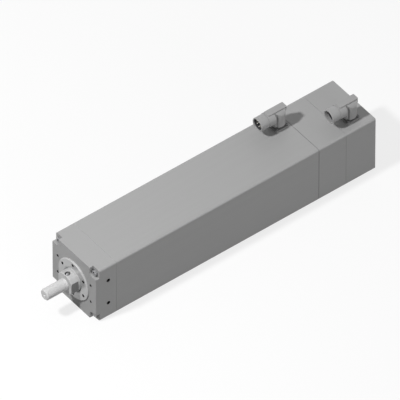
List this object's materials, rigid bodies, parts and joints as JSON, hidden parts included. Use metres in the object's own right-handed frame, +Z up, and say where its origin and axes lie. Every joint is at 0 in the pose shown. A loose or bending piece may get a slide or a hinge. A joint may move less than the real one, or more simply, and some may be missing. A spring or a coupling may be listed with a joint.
{
  "type": "electric cylinder",
  "caption": "Square electric cylinder with a motor-driven ball screw, a round rod with a threaded stub at the front and angled turnable connectors on top.",
  "frame": {"origin": "centre of the front mounting face, on the rod axis", "axes": "+X along the rod, out of the front; +Z up, towards the connectors"},
  "size_m": [0.624, 0.112, 0.1519],
  "materials": {
    "anodised_grey": "fine satin anodised grey",
    "cast_grey": "satin nickel-plated die casting",
    "pilot_steel": "fine turned steel",
    "bolt_steel": "zinc-plated steel",
    "rod_chrome": "hard-chrome plated, ground",
    "bearing_steel": "ground bearing steel",
    "core_steel": "stacked core sheets",
    "winding_copper": "enamelled copper wire",
    "magnet_grey": "bonded magnets",
    "bronze": "sintered bronze",
    "seal_rubber": "matte black rubber",
    "gasket_grey": "grey fibre gasket",
    "wiper_grey": "grey polyurethane",
    "insert_plastic": "black glass-filled plastic",
    "contact_gold": "gold-plated contact",
    "encoder_plastic": "dark moulded housing",
    "cage_polymer": "natural polyamide"
  },
  "bodies": {
    "housing": {"front_head": "anodised_grey", "head_bolts": "bolt_steel", "front_cover": "pilot_steel", "front_cover_screws": "bolt_steel", "rod_wiper": "wiper_grey", "rod_seal": "seal_rubber", "rod_bush": "bronze", "motor_tube": "anodised_grey", "housing_gasket": "gasket_grey", "bearing_housing": "anodised_grey", "bearing_retainer": "bearing_steel", "retainer_screws": "bolt_steel", "rear_cap": "anodised_grey", "rear_bolts": "bolt_steel", "stator_core": "core_steel", "stator_coils": "winding_copper", "front_bearing_outer": "bearing_steel", "rear_bearing_outer": "bearing_steel", "encoder_plate": "anodised_grey", "encoder_body": "encoder_plastic", "power_connector_flange": "cast_grey", "power_connector_screws": "bolt_steel", "signal_connector_flange": "cast_grey", "signal_connector_screws": "bolt_steel"},
    "rotor": {"rotor_tube": "core_steel", "rotor_magnets": "magnet_grey", "rotor_hub": "bearing_steel", "screw_shaft": "bearing_steel", "screw_guide": "cage_polymer", "bearing_locknut": "bolt_steel", "front_bearing_inner": "bearing_steel", "rear_bearing_inner": "bearing_steel", "encoder_hub": "bolt_steel"},
    "front_rollers": {"front_bearing_rollers": "bearing_steel", "front_bearing_cage": "cage_polymer"},
    "rear_rollers": {"rear_bearing_rollers": "bearing_steel", "rear_bearing_cages": "cage_polymer"},
    "rod": {"rod_end": "rod_chrome", "rod_stub": "rod_chrome", "grease_nipple": "bolt_steel", "rod_tube": "rod_chrome", "screw_nut": "bearing_steel", "front_bumper": "seal_rubber", "rear_bumper": "seal_rubber"},
    "power_connector": {"power_connector_body": "cast_grey", "power_connector_ring": "seal_rubber", "power_connector_insert": "insert_plastic", "power_connector_pins": "contact_gold"},
    "signal_connector": {"signal_connector_body": "cast_grey", "signal_connector_ring": "seal_rubber", "signal_connector_insert": "insert_plastic", "signal_connector_pins": "contact_gold"}
  },
  "joints": [
    {"name": "rotor_spin", "type": "hinge", "parent": "housing", "child": "rotor", "pos_m": [-0.24, 0, 0], "axis": [1, 0, 0], "range_deg": [0, 9000]},
    {"name": "rod_slide", "type": "slide", "parent": "housing", "child": "rod", "axis": [1, 0, 0], "range_m": [0, 0.25]},
    {"name": "front_rollers_orbit", "type": "hinge", "parent": "housing", "child": "front_rollers", "pos_m": [-0.0345, 0, 0], "axis": [1, 0, 0], "range_deg": [0, 4128.1]},
    {"name": "rear_rollers_orbit", "type": "hinge", "parent": "housing", "child": "rear_rollers", "pos_m": [-0.4762, 0, 0], "axis": [1, 0, 0], "range_deg": [0, 3817.5]},
    {"name": "power_connector_turn", "type": "hinge", "parent": "housing", "child": "power_connector", "pos_m": [-0.4315, -0.0281, 0.056], "axis": [0, 0, 1], "range_deg": [-155, 155]},
    {"name": "signal_connector_turn", "type": "hinge", "parent": "housing", "child": "signal_connector", "pos_m": [-0.532, 0.0274, 0.056], "axis": [0, 0, 1], "range_deg": [-155, 155]}
  ],
  "couplings": [
    {"joint": "rod_slide", "follows": "rotor_spin", "m_per_rad": 0.0015915},
    {"joint": "front_rollers_orbit", "follows": "rotor_spin", "ratio": 0.45862},
    {"joint": "rear_rollers_orbit", "follows": "rotor_spin", "ratio": 0.42411}
  ]
}
